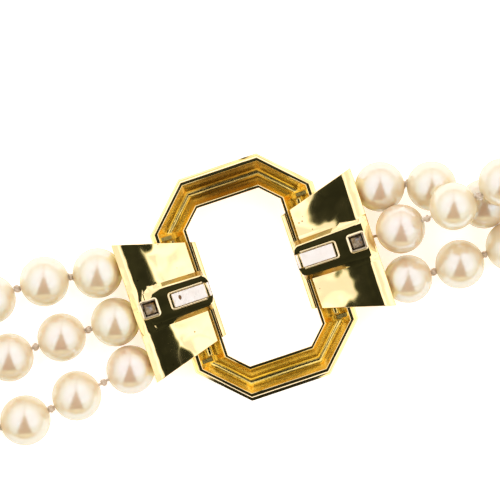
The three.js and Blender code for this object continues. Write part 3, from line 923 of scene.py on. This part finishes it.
def lumpy(place):
    """A pearl's place, made a hair off round and turned at random about its hole."""
    spin = Matrix.Rotation(dice.uniform(0, math.tau), 4, "Z")
    shape = Matrix.Diagonal((*[dice.uniform(least, 1.0) for least in OUT_OF_ROUND], 1))
    return place @ spin @ shape


def gap_places(near, far):
    """The knot's place and the thread's between two neighbours, each with its place, centre and radius."""
    near_place, near_centre, near_r = near
    far_place, far_centre, far_r = far
    start = near_centre + near_place.to_3x3().col[2].normalized() * near_r
    end = far_centre - far_place.to_3x3().col[2].normalized() * far_r
    middle = (start + end) / 2
    knot = frame_along(middle, end - start) @ Matrix.Rotation(dice.uniform(0, math.tau), 4, "Z")
    knot = knot @ Matrix.Scale(dice.uniform(*KNOT_SIZES) * MM, 4)
    thread = thread_along(middle, end - start, (end - start).length / 2 + THREAD_IN_PEARL)
    return knot, thread


def knotted_silk(knots, threads):
    """Knots and the thread between them as one piece."""
    silk = placed_copies(KNOT, knots)
    thread = placed_copies(STUB, threads)
    take_up(silk)
    thread.select_set(True)
    bpy.ops.object.join()
    return silk


def string_strand(strand):
    """All the pearls and the silk of one strand."""
    pearls = strand_pearls(strand)
    count = len(pearls)
    ends = [thread_hole(strand, "right"), *[centre for centre, _ in pearls], thread_hole(strand, "left")]
    places = [frame_along(centre, ends[i + 2] - ends[i], radius) for i, (centre, radius) in enumerate(pearls)]
    tints = [dice.random() for _ in pearls]
    lumps = [lumpy(place) for place in places]
    on_silk = [(place, centre, radius) for place, (centre, radius) in zip(places, pearls)]
    gaps = [gap_places(near, far) for near, far in zip(on_silk, on_silk[1:])]
    knots = [knot for knot, _ in gaps]
    threads = [thread for _, thread in gaps]

    for side, order in (("right", range(count)), ("left", range(count - 1, -1, -1))):
        for number in range(1, SINGLE_PEARLS + 1):
            i = order[number - 1]
            pearl = placed_copies(FINE_PEARL, [lumps[i]], [tints[i]])
            node = f"{strand}_{side}_pearl_{number}"
            settle(pearl, f"pearl_{strand}_{side}_{number}", NACRE, "pearl", node)
        own = range(SINGLE_PEARLS) if side == "right" else range(count - 1 - SINGLE_PEARLS, count - 1)
        hole = thread_hole(strand, side)
        towards = pearls[order[0]][0] - hole
        lead = thread_along(hole + towards * 0.2, towards, LEAD_HALF)
        silk = knotted_silk([knots[i] for i in own], [*[threads[i] for i in own], lead])
        settle(silk, f"silk_{strand}_{side}", SILK, "silk", f"{strand}_{side}_silk")

    start = SINGLE_PEARLS
    for number in range(1, STRETCHES + 1):
        node = f"{strand}_string_{number}"
        size = len(crests(node))
        span = range(start, start + size)
        string = placed_copies(PEARL, [lumps[i] for i in span], [tints[i] for i in span])
        settle(string, f"pearls_{strand}_{number}", NACRE, "pearl", node)
        # The knot after the last string belongs to the silk of the single pearls.
        inner = range(start, start + size if number < STRETCHES else start + size - 1)
        silk = knotted_silk([knots[i] for i in inner], [threads[i] for i in inner])
        settle(silk, f"silk_{strand}_{number}", SILK, "silk")
        start += size


for strand in STRANDS:
    string_strand(strand)
for pattern in (FINE_PEARL, PEARL, KNOT, STUB):
    bpy.data.objects.remove(pattern)


# ---------------------------------------------------------------- studio
def camera():
    """Straight above the clasp, turned so that the clasp rises to the right."""
    roll = math.radians(-18.5)
    right = Vector((math.cos(roll), math.sin(roll), 0))
    up = Vector((-math.sin(roll), math.cos(roll), 0))
    width, level = 71.4 * MM, 5 * MM  # of what it sees, and the height above the table that this is at
    distance = 0.5
    spot = CLASP - right * 0.605 * MM + up * 3.87 * MM
    data = bpy.data.cameras.new("camera")
    data.sensor_width = 36
    data.lens = data.sensor_width * distance / width
    data.clip_start = 0.01
    obj = bpy.data.objects.new("camera", data)
    bpy.context.scene.collection.objects.link(obj)
    obj.location = (spot.x, spot.y, level + distance)
    obj.rotation_euler = (0, 0, roll)
    bpy.context.scene.camera = obj
    return roll


def light_tent(roll):
    """A white tent of light with a window on either side of the camera. Each place in it is named by
    how far the normal of a mirror leans that shows it to the camera: 0 overhead, 1 straight down."""
    world = bpy.data.worlds.new("light_tent")
    bpy.context.scene.world = world
    world.use_nodes = True
    tree = world.node_tree
    tree.nodes.clear()
    way = add_node(tree, "ShaderNodeTexCoord").outputs["Generated"]
    turned = add_node(tree, "ShaderNodeMapping", {"Vector": way, "Rotation": (0, 0, -roll)})
    raised = add_node(tree, "ShaderNodeVectorMath", {0: turned.outputs[0], 1: (0, 0, 1)}, operation="ADD")
    half_way = add_node(tree, "ShaderNodeVectorMath", {0: raised.outputs[0]}, operation="NORMALIZE")
    lean = add_node(tree, "ShaderNodeSeparateXYZ", {"Vector": half_way.outputs[0]})
    side = add_node(tree, "ShaderNodeMath", {0: lean.outputs["X"]}, operation="ABSOLUTE").outputs[0]
    up = lean.outputs["Y"]

    # The dark gap for the camera and its stand widens downwards from a point above the camera.
    gap = add_node(
        tree,
        "ShaderNodeMapRange",
        {"Value": up, "From Min": 0.24, "From Max": -0.5, "To Min": 0.0, "To Max": 0.28},
    )
    past_gap = add_node(tree, "ShaderNodeMath", {0: side, 1: gap.outputs[0]}, operation="SUBTRACT")
    beside = add_node(
        tree,
        "ShaderNodeMapRange",
        {"Value": past_gap.outputs[0], "From Min": 0.0, "From Max": 0.03},
        interpolation_type="SMOOTHSTEP",
    )
    under = add_node(
        tree,
        "ShaderNodeMapRange",
        {"Value": up, "From Min": -0.5, "From Max": -0.56},
        interpolation_type="SMOOTHSTEP",
    )
    lit = add_node(tree, "ShaderNodeMath", {0: beside.outputs[0], 1: under.outputs[0]}, operation="MAXIMUM")

    # The windows reach two thirds of the way down the tent, and end below the camera.
    overhead = add_node(
        tree,
        "ShaderNodeMapRange",
        {"Value": lean.outputs["Z"], "From Min": 0.82, "From Max": 0.88},
        interpolation_type="SMOOTHSTEP",
    )
    above = add_node(
        tree,
        "ShaderNodeMapRange",
        {"Value": up, "From Min": -0.36, "From Max": -0.18},
        interpolation_type="SMOOTHSTEP",
    )
    window = add_node(
        tree, "ShaderNodeMath", {0: overhead.outputs[0], 1: above.outputs[0]}, operation="MULTIPLY"
    )
    wall = add_node(
        tree,
        "ShaderNodeMapRange",
        {"Value": lean.outputs["Z"], "From Min": 0.7, "From Max": 0.8, "To Min": 0.6, "To Max": 1.3},
        interpolation_type="SMOOTHSTEP",
    )
    level = add_node(
        tree,
        "ShaderNodeMix",
        {"Factor": window.outputs[0], "A": wall.outputs[0], "B": 1.75},
        data_type="FLOAT",
    )
    # Narrow folds in the cloth, which only a mirror polish shows.
    cloth = add_node(
        tree, "ShaderNodeTexNoise", {"Vector": half_way.outputs[0], "Scale": 13.0, "Detail": 1.0}
    )
    folds = add_node(
        tree,
        "ShaderNodeMapRange",
        {
            "Value": cloth.outputs["Fac"],
            "From Min": 0.35,
            "From Max": 0.6,
            "To Min": 0.72,
            "To Max": 1.12,
        },
    )
    folded = add_node(
        tree, "ShaderNodeMath", {0: level.outputs[0], 1: folds.outputs[0]}, operation="MULTIPLY"
    )
    shaded = add_node(tree, "ShaderNodeMapRange", {"Value": lit.outputs[0], "To Min": 0.022, "To Max": 1.0})
    strength = add_node(
        tree, "ShaderNodeMath", {0: folded.outputs[0], 1: shaded.outputs[0]}, operation="MULTIPLY"
    )

    # Daylight in the windows, white walls, the warm near wall, and the dull green of the camera's gap.
    walls = add_node(
        tree,
        "ShaderNodeMix",
        {"Factor": under.outputs[0], "A": linear("#fffefa"), "B": linear("#ffe2b4")},
        data_type="RGBA",
    )
    colour = add_node(
        tree,
        "ShaderNodeMix",
        {"Factor": window.outputs[0], "A": walls.outputs["Result"], "B": linear("#f1edff")},
        data_type="RGBA",
    )
    seen = add_node(
        tree,
        "ShaderNodeMix",
        {"Factor": lit.outputs[0], "A": linear("#e6f2cc"), "B": colour.outputs["Result"]},
        data_type="RGBA",
    )
    glow = add_node(
        tree,
        "ShaderNodeBackground",
        {"Color": seen.outputs["Result"], "Strength": strength.outputs[0]},
    )
    add_node(tree, "ShaderNodeOutputWorld", {"Surface": glow.outputs[0]})


def floor():
    """White card, lit so brightly that it takes hardly any shadow."""
    deselect()
    bpy.ops.mesh.primitive_plane_add(size=3, location=(0, 0, -0.05 * MM))
    obj = bpy.context.object
    obj.name = "floor"
    material, tree = new_material("white_card")
    shader = add_node(
        tree,
        "ShaderNodeBsdfPrincipled",
        {
            "Base Color": linear("#f2f5f7"),
            "Roughness": 0.9,
            "Specular IOR Level": 0.1,
            "Emission Color": linear("#fff6f0"),
            "Emission Strength": 0.58,
        },
    )
    add_node(tree, "ShaderNodeOutputMaterial", {"Surface": shader.outputs[0]})
    obj.data.materials.append(material)


light_tent(camera())
floor()
bpy.context.scene.view_settings.view_transform = "Standard"
